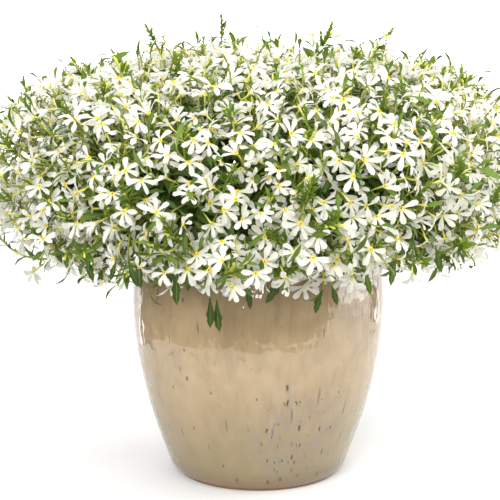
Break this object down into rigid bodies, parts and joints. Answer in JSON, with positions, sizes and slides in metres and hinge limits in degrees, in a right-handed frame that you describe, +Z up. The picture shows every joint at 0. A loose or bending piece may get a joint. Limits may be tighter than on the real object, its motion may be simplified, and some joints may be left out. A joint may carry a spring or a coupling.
{
  "type": "potted fan flower",
  "caption": "White fan flower with a wide mound of fan-shaped blooms and green leaves in a round glazed beige pot.",
  "frame": {"origin": "centre of the pot's flat underside, on the surface that it stands on", "axes": "+Z up along the pot's axis; +Y away from the viewer and +X to the viewer's right"},
  "size_m": [0.5458, 0.5615, 0.4477],
  "materials": {
    "glazed_pot": "gloss",
    "compost": "matte",
    "foliage": "satin",
    "petals": "satin"
  },
  "bodies": {
    "root": {"pot": "glazed_pot", "compost": "compost", "branch_01": "foliage", "branch_02": "foliage", "branch_03": "foliage", "branch_04": "foliage", "branch_05": "foliage", "branch_06": "foliage", "branch_07": "foliage", "branch_08": "foliage", "branch_09": "foliage", "branch_10": "foliage", "branch_11": "foliage", "branch_12": "foliage", "flowers_01": "petals", "flowers_02": "petals", "flowers_03": "petals", "flowers_04": "petals", "flowers_05": "petals", "flowers_06": "petals", "flowers_07": "petals", "flowers_08": "petals", "flowers_09": "petals", "flowers_10": "petals", "flowers_11": "petals", "flowers_12": "petals", "flowers_13": "petals", "flowers_14": "petals", "flowers_15": "petals", "flowers_16": "petals", "flowers_17": "petals", "flowers_18": "petals", "flowers_19": "petals", "flowers_20": "petals", "flowers_21": "petals", "flowers_22": "petals", "flowers_23": "petals", "flowers_24": "petals", "flowers_25": "petals", "flowers_26": "petals", "flowers_27": "petals", "flowers_28": "petals", "flowers_29": "petals", "flowers_30": "petals", "flowers_31": "petals", "flowers_32": "petals", "flowers_33": "petals", "flowers_34": "petals", "flowers_35": "petals", "flowers_36": "petals", "flowers_37": "petals", "flowers_38": "petals"}
  },
  "joints": []
}
